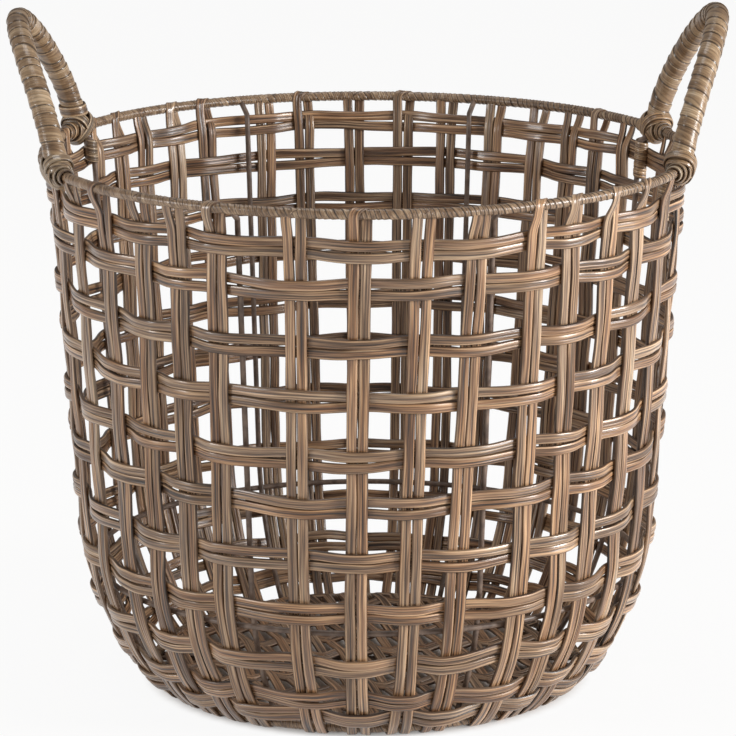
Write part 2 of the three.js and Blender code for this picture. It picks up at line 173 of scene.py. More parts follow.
def unit(vectors):
    return vectors / np.linalg.norm(vectors, axis=-1, keepdims=True)


def all_along(points, direction):
    """The same direction at every point of a line."""
    return np.tile(direction, (len(points), 1))


def travel_along(points):
    return np.concatenate([[0], np.cumsum(np.linalg.norm(np.diff(points, axis=0), axis=1))])


def respaced(points, values, step):
    """A line and the values along it, at even steps."""
    travel = travel_along(points)
    count = max(int(travel[-1] / step), 2) + 1
    at = np.linspace(0, travel[-1], count)
    columns = np.column_stack([points, values])
    return np.column_stack([np.interp(at, travel, column) for column in columns.T])


def rounded_line(points, step, passes):
    """A line at even steps, with its corners rounded off and its ends kept."""
    points = respaced(points, points[:, :0], step)
    for _ in range(passes):
        points[1:-1] = 0.25 * points[:-2] + 0.5 * points[1:-1] + 0.25 * points[2:]
    return points


def swept_grid(bm, points, across, section, closed=False, along=None):
    """One skin along a line: section gives the (across, through) offsets of each ring, in one array. The UV
    map runs along the line, in metres or by the values in along, and once round the section."""
    rings, round_count = section.shape[:2]
    tangent = np.roll(points, -1, 0) - np.roll(points, 1, 0)
    if not closed:
        tangent[0] = points[1] - points[0]
        tangent[-1] = points[-1] - points[-2]
    tangent = unit(tangent)
    through = unit(np.cross(tangent, across))
    across = np.cross(through, tangent)
    skin = points[:, None] + across[:, None] * section[..., :1] + through[:, None] * section[..., 1:]
    if closed:
        skin = np.concatenate([skin, skin[:1]])
        points = np.concatenate([points, points[:1]])
        rings += 1
    if along is None:
        along = travel_along(points) * MM
    uv = bm.loops.layers.uv.get("UVMap") or bm.loops.layers.uv.new("UVMap")
    made = bmesh.ops.create_grid(bm, x_segments=rings - 1, y_segments=round_count, size=1, calc_uvs=True)
    for vert in made["verts"]:
        i = round((vert.co.x + 1) / 2 * (rings - 1))
        j = round((vert.co.y + 1) / 2 * round_count) % round_count
        vert.co = skin[i, j] * MM
    for face in {face for vert in made["verts"] for face in vert.link_faces}:
        for loop in face.loops:
            loop[uv].uv.x = along[round(loop[uv].uv.x * (rings - 1))]
    bmesh.ops.remove_doubles(bm, verts=made["verts"], dist=MERGE_GAP)


def finished(name, bm, material, slot, *nodes):
    """Closes the ends, makes the object and ties it to the frame."""
    bmesh.ops.holes_fill(bm, edges=[edge for edge in bm.edges if edge.is_boundary])
    bmesh.ops.recalc_face_normals(bm, faces=bm.faces)
    for face in bm.faces:
        face.smooth = True
    mesh = bpy.data.meshes.new(name)
    bm.to_mesh(mesh)
    bm.free()
    piece = bpy.data.objects.new(name, mesh)
    bpy.context.scene.collection.objects.link(piece)
    mesh.materials.append(material)
    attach(piece, "root")
    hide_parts(*nodes)
    return piece


def set_tone(piece, tone):
    """Gives a piece its strand's shade, a plain number from 0 to 1, at each of its points."""
    layer = piece.data.attributes.new("tone", "FLOAT", "POINT")
    layer.data.foreach_set("value", np.full(len(piece.data.vertices), tone, np.float32))


# Strand: a flat oval with a groove along each face, which narrows, thins and twists a little

STRAND_WIDTH = 6.4
STRAND_DEPTH = 2.7
STRAND_SPACING = 6.7
STRAND_RING = 20
STRAND_FLATNESS = 0.62
GROOVE_DEPTH = 0.2
GROOVE_WIDTH = 0.16
WIDTH_SWAY = (70, 0.035)
DEPTH_SWAY = (50, 0.07)
TWIST_SWAY = (90, 7)


def strand_section(travel, rng, width=STRAND_WIDTH, depth=STRAND_DEPTH):
    """The strand's outline at each ring."""
    turn = 2 * np.pi * np.arange(STRAND_RING) / STRAND_RING
    x = np.cos(turn)
    y = np.sign(np.sin(turn)) * np.abs(np.sin(turn)) ** STRAND_FLATNESS
    y *= 1 - GROOVE_DEPTH * np.exp(-((x / GROOVE_WIDTH) ** 2))
    widths = width / 2 * (1 + wander(rng, travel, *WIDTH_SWAY))
    depths = depth / 2 * (1 + wander(rng, travel, *DEPTH_SWAY))
    return np.stack([widths[:, None] * x, depths[:, None] * y], -1)


def twisted(across, points, angles):
    """Across directions turned about the line by small angles, in degrees."""
    tangent = np.gradient(points, axis=0)
    through = unit(np.cross(unit(tangent), across))
    turn = np.radians(angles)[:, None]
    return across * np.cos(turn) + through * np.sin(turn)


def add_strand(bm, points, across, rng, step, depths=STRAND_DEPTH):
    depths = np.broadcast_to(depths, len(points))
    line = respaced(points, np.column_stack([across, depths]), step)
    points, across, depths = line[:, :3], unit(line[:, 3:6]), line[:, 6]
    travel = travel_along(points)
    across = twisted(across, points, wander(rng, travel, *TWIST_SWAY))
    swept_grid(bm, points, across, strand_section(travel, rng, depth=depths))


# Shader nodes, written as expressions


class Wire:
    """A node socket, or a plain number or colour, that adds nodes when it is used in a sum."""

    def __init__(self, tree, value):
        self.tree = tree
        self.value = value

    def node(self, kind, settings=None, out=0, **sockets):
        made = self.tree.nodes.new(kind)
        for key, value in (settings or {}).items():
            if key == "stops":
                for element, (at, colour) in zip(stops_of(made, len(value)), value):
                    element.position = at
                    element.color = (*colour, 1)
            else:
                setattr(made, key, value)
        for key, value in sockets.items():
            numbered = key[0] == "i" and key[1:].isdigit()
            socket = made.inputs[int(key[1:]) if numbered else key.replace("_", " ")]
            if isinstance(value, Wire):
                value = value.value
            if isinstance(value, bpy.types.NodeSocket):
                self.tree.links.new(value, socket)
            else:
                socket.default_value = value
        return Wire(self.tree, made.outputs[out])

    def math(self, operation, *others, clamp=False):
        values = (self, *others)
        sockets = {f"i{k}": value for k, value in enumerate(values)}
        return self.node("ShaderNodeMath", {"operation": operation, "use_clamp": clamp}, **sockets)

    def __add__(self, other):
        return self.math("ADD", other)

    def __sub__(self, other):
        return self.math("SUBTRACT", other)

    def __mul__(self, other):
        return self.math("MULTIPLY", other)

    def __rsub__(self, other):
        return Wire(self.tree, other).math("SUBTRACT", self)

    __radd__ = __add__
    __rmul__ = __mul__

    def clamped(self):
        return self.math("ADD", 0.0, clamp=True)

    def distance(self, value):
        """How far this value is from another."""
        return (self - value).math("ABSOLUTE")

    def spread(self, low, high):
        """0 below low and 1 above high, smooth in between."""
        settings = {"interpolation_type": "SMOOTHSTEP"}
        return self.node("ShaderNodeMapRange", settings, i0=self, i1=low, i2=high, i3=0.0, i4=1.0)

    def vector(self, x, y, z):
        return self.node("ShaderNodeCombineXYZ", i0=x, i1=y, i2=z)

    def noise(self, scale, detail=2.0, roughness=0.5):
        return self.node("ShaderNodeTexNoise", Vector=self, Scale=scale, Detail=detail, Roughness=roughness)

    def mixed(self, first, second, kind="MIX"):
        """Two colours mixed by this value."""
        settings = {"data_type": "RGBA", "blend_type": kind}
        return self.node("ShaderNodeMix", settings, out=2, i0=self, i6=first, i7=second)

    def tinted(self, tint):
        """This colour times another."""
        return Wire(self.tree, 1.0).mixed(self, tint, "MULTIPLY")

    def ramp(self, stops, colours):
        """The colours at the stops, and blends of them in between."""
        return self.node("ShaderNodeValToRGB", {"stops": tuple(zip(stops, colours))}, i0=self)


def stops_of(node, count):
    elements = node.color_ramp.elements
    while len(elements) < count:
        elements.new(0.5)
    return elements


def linear(red, green, blue):
    """A colour read from a picture, 0 to 255, as the light that it stands for."""

    def channel(value):
        value /= 255
        return value / 12.92 if value <= 0.04045 else ((value + 0.055) / 1.055) ** 2.4

    return tuple(channel(value) for value in (red, green, blue))


def new_material(name, **constants):
    material = bpy.data.materials.new(name)
    material.use_nodes = True
    tree = material.node_tree
    shader = tree.nodes["Principled BSDF"]
    for key, value in constants.items():
        shader.inputs[key.replace("_", " ")].default_value = value
    return material, tree, shader


def plug(tree, shader, **sockets):
    for key, wire in sockets.items():
        tree.links.new(wire.value, shader.inputs[key.replace("_", " ")])


def uv_map(start):
    """Place along a strip and share of the way round it."""
    split = start.node("ShaderNodeSeparateXYZ", i0=start.node("ShaderNodeUVMap", {"uv_map": "UVMap"}))
    return split, Wire(start.tree, split.value.node.outputs[1])


def object_place(tree):
    return Wire(tree, tree.nodes.new("ShaderNodeTexCoord").outputs["Object"])


# Finishes: streaked satin plastic in four colours, from dark to bright, and coated wire in two. The stops are
# the places of the colours on their ramp.

STRAND_STOPS = (0.36, 0.46, 0.56, 0.68)
STRAND_COLOURS = linear(48, 31, 21), linear(122, 88, 60), linear(179, 141, 106), linear(230, 195, 157)
BASE_COLOURS = linear(46, 31, 22), linear(124, 91, 64), linear(176, 138, 104), linear(220, 184, 148)
BAND_COLOURS = linear(72, 52, 36), linear(136, 108, 80), linear(172, 144, 112), linear(208, 184, 152)
WOUND_STOPS = (0.34, 0.45, 0.55, 0.66)
HANDLE_COLOURS = linear(74, 54, 38), linear(134, 106, 78), linear(170, 142, 110), linear(208, 182, 150)
BINDING_COLOURS = linear(74, 54, 40), linear(128, 102, 78), linear(162, 134, 106), linear(200, 174, 144)
WIRE_STOPS = (0.35, 0.65)
WIRE_COLOURS = linear(92, 76, 66), linear(132, 112, 98)
WIRE_GRAIN = 160.0

# Tints, and how dark the painted shade lines between strips, in grooves and along strand edges are beside the
# darkest colour
COOL_TINT = (0.93, 1.0, 1.07, 1)
WARM_TINT = (1.08, 0.99, 0.88, 1)
DIM_FIBRE = (0.8, 0.78, 0.76, 1)
LIT_FIBRE = (1.08, 1.08, 1.08, 1)
PAINTED_SHADE_LEVEL = 0.3

# Where a strand's painted shade lines, in its grooves and at its edges, and its painted highlights along the
# rib edges lie, as shares of half its width, and how far apart the patterns of strands are
MIDDLE_GROOVE = (0.03, 0.24)
SIDE_GROOVE = 0.55
SIDE_GROOVE_SPREAD = (0.0, 0.15)
PAINTED_HIGHLIGHT_AT = 0.72
PAINTED_HIGHLIGHT_SPREAD = (0.03, 0.2)
STRAND_EDGE = (0.76, 1.0)
PATTERN_SPACING = 37.0

# How strong the relief is, and how deep in metres
STRAND_RELIEF = {"Strength": 0.6, "Distance": 0.0006}
WOUND_RELIEF = {"Strength": 0.5, "Distance": 0.0005}

# Wound strips: how many run side by side, and which way they lean
BINDING_STRIPS = 2
BINDING_SLANT = -1
HANDLE_STRIPS = 1
HANDLE_SLANT = 1


# The colour of the painted shade lines: the darkest colour, darkened further.
def painted_shade_colour(dark):
    return (*(PAINTED_SHADE_LEVEL * channel for channel in dark), 1)


def strand_material(name, colours, seed):
    """Two ribs, long streaks, painted shade in the grooves and along the edges, a painted highlight along
    each rib edge, and a slow change of colour along each strand.
    """
    material, tree, shader = new_material(name, Specular_IOR_Level=0.7, Coat_Roughness=0.2)
    start = Wire(tree, 0.0)
    along, around = uv_map(start)
    tone = start.node("ShaderNodeAttribute", {"attribute_name": "tone"}, out=2)
    turn = around * (2 * math.pi)
    across = turn.math("COSINE")
    from_middle = across.math("ABSOLUTE")
    face = turn.math("SINE")
    own = tone * PATTERN_SPACING + seed

    def pattern(waves, aside, offset, detail, roughness=0.5):
        """Soft noise with so many waves to each metre of strand."""
        return start.vector(along * waves, aside, own + offset).noise(1.0, detail, roughness)

    lane = across + (pattern(14.0, 0.0, 9.0, 1.0) - 0.5) * 0.7
    streaks = pattern(17.0, lane * 2.3, face * 0.5, 3.0, 0.55)
    fibres = pattern(30.0, lane * 4.2, 3.0, 2.0, 0.55)
    patches = pattern(9.0, face * 0.4, 5.0, 2.0)
    warmth = pattern(7.0, face * 0.8, 17.0, 2.0)
    gate = pattern(20.0, across * 1.5, 3.0, 2.0).spread(0.4, 0.58)
    # Painted shade: the grooves, and the strand's edges where it meets its neighbours, are darkened in the
    # colour; the same lines also lower the relief.
    middle_groove = (1.0 - from_middle.spread(*MIDDLE_GROOVE)) * (0.4 + 0.6 * gate)
    side_groove = (1.0 - lane.math("ABSOLUTE").distance(SIDE_GROOVE).spread(*SIDE_GROOVE_SPREAD)) * gate
    # Painted highlight: a bright line along each rib edge, where no groove is.
    painted_rib_highlight = (1.0 - from_middle.distance(PAINTED_HIGHLIGHT_AT).spread(*PAINTED_HIGHLIGHT_SPREAD)) * (1.0 - gate)
    edge = from_middle.spread(*STRAND_EDGE)
    shade_and_relief_lines = (middle_groove * 0.8 + side_groove * 0.5 + edge * 0.7).clamped()
    shade = streaks * 0.66 + patches * 0.22 + fibres * 0.12 + tone * 0.05 - 0.025
    base = shade.ramp(STRAND_STOPS, colours)
    worn = base.tinted(warmth.spread(0.38, 0.62).mixed(COOL_TINT, WARM_TINT))
    streaked = worn.tinted(fibres.spread(0.32, 0.68).mixed(DIM_FIBRE, LIT_FIBRE))
    # Painted highlight mixed in, in the palette's brightest colour.
    with_painted_highlight = (painted_rib_highlight * 0.5).mixed(streaked, (*colours[-1], 1))
    # Painted shade mixed into the colour along the grooves and edges.
    with_painted_shade = (shade_and_relief_lines * 0.86).mixed(with_painted_highlight, painted_shade_colour(colours[0]))
    height = (1.0 - shade_and_relief_lines) * 0.7 + fibres * 0.3
    bump = start.node("ShaderNodeBump", Height=height, **STRAND_RELIEF)
    rough = 0.26 + fibres * 0.2 + shade_and_relief_lines * 0.2
    coat = 0.12 + 0.5 * patches.spread(0.42, 0.62)
    plug(tree, shader, Base_Color=with_painted_shade, Roughness=rough, Normal=bump, Coat_Weight=coat)
    return material


def wound_material(name, strips, slant, ribs, edge_width, colours):
    """Strips wound side by side round a rod, each with fine ribs between painted shade lines, and a painted
    shadow line where it meets the next.
    """
    material, tree, shader = new_material(name, Specular_IOR_Level=0.6, Coat_Roughness=0.14)
    start = Wire(tree, 0.0)
    along, around = uv_map(start)
    turns = (along + around * slant) * strips
    share = turns.math("FRACT")
    run = turns.math("FLOOR") - around * (strips * slant)
    blotches = start.vector(run * 0.83, share * 0.6, 3.0).noise(1.0, 2.0, 0.5)
    streaks = start.vector(run * 3.1, share * 5.0, 9.0).noise(1.0, 3.0, 0.6)
    # Painted shade: dark lines in the grooves between the fine ribs, and a painted shadow line where each
    # strip meets the next; they also shape the relief.
    rib = (share * ribs).math("FRACT").distance(0.5).spread(0.24, 0.5)
    gap = 1.0 - share.math("MINIMUM", 1.0 - share).spread(0.0, edge_width)
    shade_and_relief_lines = (gap * 0.95 + rib * 0.4).clamped()
    base = (blotches * 0.55 + streaks * 0.45).ramp(WOUND_STOPS, colours)
    # Painted shade and shadow lines mixed into the colour.
    with_painted_shade = (shade_and_relief_lines * 0.8).mixed(base, painted_shade_colour(colours[0]))
    height = (1.0 - shade_and_relief_lines) * 0.8 + streaks * 0.2
    bump = start.node("ShaderNodeBump", Height=height, **WOUND_RELIEF)
    rough = 0.22 + streaks * 0.26
    plug(tree, shader, Base_Color=with_painted_shade, Roughness=rough, Normal=bump, Coat_Weight=blotches * 0.35)
    return material


def wire_material(name):
    material, tree, shader = new_material(name, Metallic=0.0, Roughness=0.42)
    colour = object_place(tree).noise(WIRE_GRAIN, 3.0).ramp(WIRE_STOPS, WIRE_COLOURS)
    plug(tree, shader, Base_Color=colour)
    return material


strand_finish = strand_material("streaked_strand", STRAND_COLOURS, seed=1.0)
base_finish = strand_material("streaked_base_strand", BASE_COLOURS, seed=4.0)
band_finish = strand_material("streaked_band", BAND_COLOURS, seed=7.0)
handle_finish = wound_material(
    "ribbed_handle_strip", HANDLE_STRIPS, HANDLE_SLANT, ribs=5.0, edge_width=0.09, colours=HANDLE_COLOURS
)
binding_finish = wound_material(
    "narrow_binding_strip", BINDING_STRIPS, BINDING_SLANT, ribs=2.0, edge_width=0.14, colours=BINDING_COLOURS
)
wire_finish = wire_material("coated_wire")


# Stakes: one strand folded over the rim, whose legs run down side by side and turn in under the base hoop

STAKE_SEED = 100
STAKE_STEP = 2.3
STAKE_LINE_STEP = 1.2
STAKE_LINE_PASSES = 3
STAKE_SWAY = 0.45

# Legs: where they start below the rim and end above the base, and how far they part there
LEG_START = 2
LEG_END = 4
LEG_POINTS = 110
LEG_SWAY = (150, 0.3)
TOP_SPLAY = (-0.3, 1.0)
TOP_SPLAY_REACH = 22
FOOT_SPLAY = (0.2, 1.6)
FOOT_SPLAY_REACH = 18

# Fold over the rim: how far it is from the hoop's middle, in most stakes and in the share that lie over the
# binding, and how thin the strand is there
RIM_FOLD = 1.6
RIM_FOLD_OVER = 3.1
SHARE_OVER = 0.4
RIM_FOLD_DEPTH = 1.7
FOLD_DROP = 19
FOLD_THIN_DROP = 1
FOLD_EDGE = 0.25
FOLD_POINTS = 9
FOLD_TURN = 2

# Hook under the base hoop, where the strand is thin again
BASE_FOLD = BINDING_SIZE + 0.75
HOOK_RISE = 6
HOOK_POINTS = 8
HOOK_RUN = (2, 13)
HOOK_RUN_POINTS = 5
HOOK_THINNING = 8
HOOK_THIN_DROP = 2


def stake_sway(stake, drop):
    """How far the rows push a stake out or in."""
    rows = range(len(ROW_DROPS))
    push = [-STAKE_SWAY if is_outside(row, stake) else STAKE_SWAY for row in rows]
    knots = [0, *(row_drop(row, STAKES[stake][0]) for row in rows), BASE_DROP]
    values = [0, *push, 0]
    i = span_at(knots, drop)
    low, high = np.take(knots, i), np.take(knots, i + 1)
    share = ease((drop - low) / (high - low))
    return np.take(values, i) * (1 - share) + np.take(values, i + 1) * share


def fold_across(points, aside):
    """The strand's own width direction where it lies over the rim hoop, and the wall's elsewhere."""
    level = points * [1, 1, 0]
    away = unit(level) * (np.linalg.norm(level, axis=1) - RIM_RADIUS)[:, None]
    away[:, 2] = np.maximum(points[:, 2] - RIM_HEIGHT, 0)
    width = unit(np.cross(np.gradient(points, axis=0), away))
    width *= np.sign((width * aside).sum(1))[:, None]
    share = ease((points[:, 2] - RIM_HEIGHT + FOLD_TURN) / FOLD_TURN)[:, None]
    return unit(width * share + aside * (1 - share))


def make_stake(stake):
    rng = np.random.default_rng(STAKE_SEED + stake)
    half = STRAND_SPACING / 2
    down = np.linspace(LEG_START, BASE_DROP - LEG_END, LEG_POINTS)
    top_splay = rng.uniform(*TOP_SPLAY)
    foot_splay = rng.uniform(*FOOT_SPLAY)
    fold_size = RIM_FOLD_OVER if rng.random() < SHARE_OVER else RIM_FOLD

    def leg(side):
        spread = top_splay * np.exp(-down / TOP_SPLAY_REACH)
        spread += foot_splay * np.exp(-(BASE_DROP - down) / FOOT_SPLAY_REACH)
        aside = side * (half + spread) + wander(rng, down, *LEG_SWAY)
        join = 1 - ease(down / FOLD_DROP)
        radius = wall_radius(down) + stake_sway(stake, down)
        radius = radius * (1 - join) + (RIM_RADIUS - side * fold_size) * join
        return place(stake_angle(stake, down), radius, RIM_HEIGHT - down, aside), aside[-1]

    def hook(aside):
        turn = np.linspace(-wall_lean(BASE_DROP - HOOK_RISE), -np.pi / 2, HOOK_POINTS)
        inward = np.linspace(*HOOK_RUN, HOOK_RUN_POINTS)
        lowest = np.full(len(inward), BASE_HEIGHT - BASE_FOLD)
        radius = np.append(BASE_RADIUS + BASE_FOLD * np.cos(turn), BASE_RADIUS - inward)
        height = np.append(BASE_HEIGHT + BASE_FOLD * np.sin(turn), lowest)
        return place(stake_angle(stake, BASE_DROP), radius, height, aside)

    outer, outer_aside = leg(-1)
    inner, inner_aside = leg(1)
    turn = np.linspace(FOLD_EDGE, np.pi - FOLD_EDGE, FOLD_POINTS)
    fold_radius = RIM_RADIUS + fold_size * np.cos(turn)
    fold_height = RIM_HEIGHT + fold_size * np.sin(turn)
    fold = place(stake_angle(stake, 0), fold_radius, fold_height, -np.cos(turn) * (half + top_splay))
    points = np.concatenate([hook(outer_aside)[::-1], outer[::-1], fold, inner, hook(inner_aside)])
    points = rounded_line(points, STAKE_LINE_STEP, STAKE_LINE_PASSES)
    drop = RIM_HEIGHT - points[:, 2]
    across = fold_across(points, sideways(stake_angle(stake, drop)))
    thick_top = ease((drop - FOLD_THIN_DROP) / FOLD_DROP)
    thick_foot = ease((BASE_DROP + HOOK_THIN_DROP - drop) / HOOK_THINNING)
    depths = RIM_FOLD_DEPTH + (STRAND_DEPTH - RIM_FOLD_DEPTH) * (thick_top * thick_foot)
    bm = bmesh.new()
    add_strand(bm, points, across, rng, STAKE_STEP, depths)
    name = f"stake_{stake + 1:02d}"
    piece = finished(name + "_strand", bm, strand_finish, "stake_strand", name)
    set_tone(piece, rng.random())


for stake_number in range(len(STAKES)):
    make_stake(stake_number)


# Weaver rows: one strand that goes round twice, the second turn under the first

ROW_SEED = 300
ROW_PAIR_SEED = 500
ROW_STEP = 0.55
WEAVER_STEP = 3.0

# The stake at which each of two neighbouring rows ends
ROW_SEAMS = (9, 29)

# How far a row stands off the wall, how far past a stake's middle it stays there, and the most that this may
# take of the way to the next stake
WEAVE_DEPTH = 2.25
CROSSING_REACH = 3.2
CROSSING_LIMIT = 0.3

# Sways: of both turns together, in waves to the round, of the space between them, and off the wall
ROW_WAVES = 5
ROW_SWAY = 1.2
SPACING_SWAY = (95, 0.28)
WEAVE_SWAY = (60, 0.2)


def make_row(row):
    rng = np.random.default_rng(ROW_SEED + row)
    first = ROW_SEAMS[row % len(ROW_SEAMS)] + 1
    count = len(STAKES)
    order = [(first + k) % count for k in range(2 * count)]
    crossings = [float(stake_angle(stake, row_drop(row, STAKES[stake][0]))) for stake in order]
    knots = np.degrees(np.unwrap(np.radians(crossings)))
    side = np.array([1.0 if is_outside(row, stake) else -1.0 for stake in order])
    angles = np.arange(knots[0], knots[-1], ROW_STEP)
    i = span_at(knots, angles)
    span = knots[i + 1] - knots[i]
    row_radius = float(wall_radius(ROW_DROPS[row][0]))
    travel = np.radians(angles) * row_radius
    wavelength = 2 * np.pi * row_radius / ROW_WAVES
    together = wander(np.random.default_rng(ROW_PAIR_SEED + row), travel, wavelength, ROW_SWAY)
    drop = row_drop(row, angles) - together
    radius = wall_radius(drop)
    flat = np.minimum(CROSSING_REACH / (radius * np.radians(span)), CROSSING_LIMIT)
    share = ease(((angles - knots[i]) / span - flat) / (1 - 2 * flat))
    off = WEAVE_DEPTH * (side[i] * (1 - share) + side[i + 1] * share)
    seam = knots[count - 1]
    second = ease((angles - seam) / (knots[count] - seam))
    along = STRAND_SPACING * (0.5 - second) + wander(rng, travel, *SPACING_SWAY)
    off = off + wander(rng, travel, *WEAVE_SWAY)
    lean = wall_lean(drop)
    strand_radius = radius + along * np.sin(lean) + off * np.cos(lean)
    strand_height = RIM_HEIGHT - drop + along * np.cos(lean) - off * np.sin(lean)
    across = outward(angles) * np.sin(lean)[:, None]
    across[:, 2] = np.cos(lean)
    bm = bmesh.new()
    add_strand(bm, place(angles, strand_radius, strand_height), across, rng, WEAVER_STEP)
    name = f"weaver_row_{row + 1:02d}"
    piece = finished(name + "_strand", bm, strand_finish, "weaver_strand", name)
    set_tone(piece, rng.random())


for row_number in range(len(ROW_DROPS)):
    make_row(row_number)


# Base mat: one strand runs back and forth at an even spacing, the other crosses it in pairs

MAT_SEED = 700
MAT_TURN = 15
MAT_SPACING = 10.9
MAT_PAIR_PITCH = 34
MAT_RADIUS = 126
MAT_EDGE = 4
MAT_LIFT = 1.5
MAT_DEPTH = 2.4
MAT_STEP = 1.9
MAT_LINE_STEP = 1.4
MAT_LINE_PASSES = 2
MAT_SWAY = (160, 0.5)
mat_low, mat_high = (corner.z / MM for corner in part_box("base_mat_warp"))
MAT_HEIGHT = (mat_low + mat_high) / 2


def mat_lanes(paired):
    """Each lane of a strand: how far aside it runs and its own number or its pair's."""
    if not paired:
        count = int(MAT_RADIUS / MAT_SPACING)
        return [((lane + 0.5) * MAT_SPACING, lane) for lane in range(-count, count)]
    count = int(MAT_RADIUS / MAT_PAIR_PITCH)
    pairs = range(-count, count + 1)
    return [(pair * MAT_PAIR_PITCH + side * STRAND_SPACING, pair) for pair in pairs for side in (-0.5, 0.5)]


def make_mat(family, name, turn):
    """Family 0 runs in pairs, and family 1 at an even spacing."""
    rng = np.random.default_rng(MAT_SEED + family)
    knots = []
    for lane, (aside, own) in enumerate(mat_lanes(paired=family == 0)):
        end = math.sqrt(MAT_RADIUS**2 - aside**2)
        line = [(-end, aside, MAT_HEIGHT)]
        for at, other in mat_lanes(paired=family == 1):
            if abs(at) < end - MAT_EDGE:
                over = (own + other + family) % 2 == 0
                line.append((at, aside, MAT_HEIGHT + (MAT_LIFT if over else -MAT_LIFT)))
        line.append((end, aside, MAT_HEIGHT))
        knots.extend(line[::-1] if lane % 2 else line)
    points = rounded_line(np.array(knots, float), MAT_LINE_STEP, MAT_LINE_PASSES)
    points[:, 1] += wander(rng, travel_along(points), *MAT_SWAY)
    cos, sin = math.cos(math.radians(turn)), math.sin(math.radians(turn))
    points = points @ np.array([[cos, sin, 0], [-sin, cos, 0], [0, 0, 1]])
    across = unit(np.cross(UP, unit(np.gradient(points, axis=0))))
    bm = bmesh.new()
    add_strand(bm, points, across, rng, MAT_STEP, MAT_DEPTH)
    piece = finished(name + "_strand", bm, base_finish, "base_strand", name)
    set_tone(piece, rng.random())


make_mat(0, "base_mat_warp", MAT_TURN)
make_mat(1, "base_mat_weft", MAT_TURN + 90)


# Wound strips: a tube whose radius rises at one edge of each strip and falls to the other

RIDGE_RISE = 0.06
RIDGE_FOOT = 0.5
NOTCH_WIDTH = 0.02


def wound_tube(bm, points, across, size, turns, strips, slant, ridge, ring, closed=False):
    """The turns of strip that have passed at each ring go into the UV map."""
    around = np.arange(ring) / ring
    share = (turns[:, None] + around[None] * slant) * strips % 1
    fall = ridge * share * np.clip(share / RIDGE_RISE, RIDGE_FOOT, 1)
    radius = size - fall - ridge * np.exp(-share / NOTCH_WIDTH)
    section = np.stack([radius * np.cos(2 * np.pi * around), radius * np.sin(2 * np.pi * around)], -1)
    if closed:
        section = section[:-1]
    swept_grid(bm, points, across, section, closed, turns)


# Bindings of the rim and base hoops, whose turns crowd and part a little on the way round

BINDING_STEP = 0.6
BINDING_TURN = 6.8
BINDING_RIDGE = 0.45
BINDING_RING = 18
CROWDING = 0.3
CROWDING_WAVES = 37


def bound_ring(name, radius, height):
    length = 2 * np.pi * radius
    count = int(length / BINDING_STEP)
    angles = np.arange(count) * 360 / count
    round_share = np.arange(count + 1) / count
    turns = round_share * round(length / BINDING_TURN)
    turns += CROWDING * np.sin(round_share * 2 * np.pi * CROWDING_WAVES)
    bm = bmesh.new()
    wound_tube(
        bm, place(angles, radius, height), outward(angles), BINDING_SIZE, turns,
        BINDING_STRIPS, BINDING_SLANT, BINDING_RIDGE, BINDING_RING, closed=True,
    )
    finished(name + "_strip", bm, binding_finish, "binding_strip", name)


bound_ring("rim_binding", RIM_RADIUS, RIM_HEIGHT)
bound_ring("base_binding", BASE_RADIUS, BASE_HEIGHT)


# Handles: an arch that rises upright from the rim and then bends outward, wound from just below the rim

# How high each rises and how far its top sits towards its second leg
HANDLE_SHAPES = {"left": (80, -10.7), "right": (83, 8)}
HANDLE_OUTWARD = 30
HANDLE_BEND = 1.4
HANDLE_ROUNDNESS = 1.75
ARCH_POINTS = 900

HANDLE_SIZE = 7.4
HANDLE_TURN = 8.4
WRAP_SEED = 800
WRAP_STEP = 0.5
WRAP_BELOW = 5
WRAP_SWAY = (34, 0.28)
WRAP_RIDGE = 0.7
WRAP_RING = 24


def handle_arch(side, count=ARCH_POINTS):
    """Middle line of the rod, from its second leg to its first, and the way square to its plane."""
    legs = HANDLE_LEGS[side]
    rise, drift = HANDLE_SHAPES[side]
    middle, half = sum(legs) / 2, math.radians((legs[1] - legs[0]) / 2)
    turn = np.linspace(0, np.pi, count)
    power = 2 / HANDLE_ROUNDNESS
    risen = np.clip(np.sin(turn), 0, 1) ** power
    level = np.sign(np.cos(turn)) * np.abs(np.cos(turn)) ** power
    aside = RIM_RADIUS * math.sin(half) * level + drift * risen
    radius = RIM_RADIUS * math.cos(half) + HANDLE_OUTWARD * risen**HANDLE_BEND
    points = place(middle, radius, RIM_HEIGHT + rise * risen, aside)
    flat = unit(np.cross(sideways(middle), outward(middle) * HANDLE_OUTWARD + UP * rise))
    return points, flat


def make_handle(side):
    points, flat = handle_arch(side)
    line = respaced(points, all_along(points, flat), WRAP_STEP)
    below = np.arange(WRAP_BELOW, 0, -WRAP_STEP)[:, None] * np.append(-UP, np.zeros(3))
    line = np.concatenate([line[:1] + below, line, line[-1:] + below[::-1]])
    if side == "right":
        line = line[::-1]
    points, across = line[:, :3], line[:, 3:]
    travel = travel_along(points)
    turns = travel / HANDLE_TURN + wander(np.random.default_rng(WRAP_SEED + len(side)), travel, *WRAP_SWAY)
    bm = bmesh.new()
    wound_tube(bm, points, across, HANDLE_SIZE, turns, HANDLE_STRIPS, HANDLE_SLANT, WRAP_RIDGE, WRAP_RING)
    name = f"handle_wrap_{side}"
    finished(name + "_strip", bm, handle_finish, "handle_strip", name)


for handle_side in HANDLE_LEGS:
    make_handle(handle_side)


# Wire frame: hoops, uprights, handle rods and two wires under the mat

WIRE_RING = 10
HOOP_WIRE_SIZE = 1.75
HOOP_POINTS = 96
WAIST_DROP = 260
WAIST_INSET = 4.95
UPRIGHT_SIZE = 1.75
UPRIGHT_INSET = 6.9
UPRIGHT_SPAN = (8, BASE_DROP - 12)
UPRIGHT_POINTS = 40
ROD_SIZE = 3
ROD_POINTS = 60
CROSS_WIRE_SIZE = 1.5
CROSS_WIRE_LIFT = 0.6


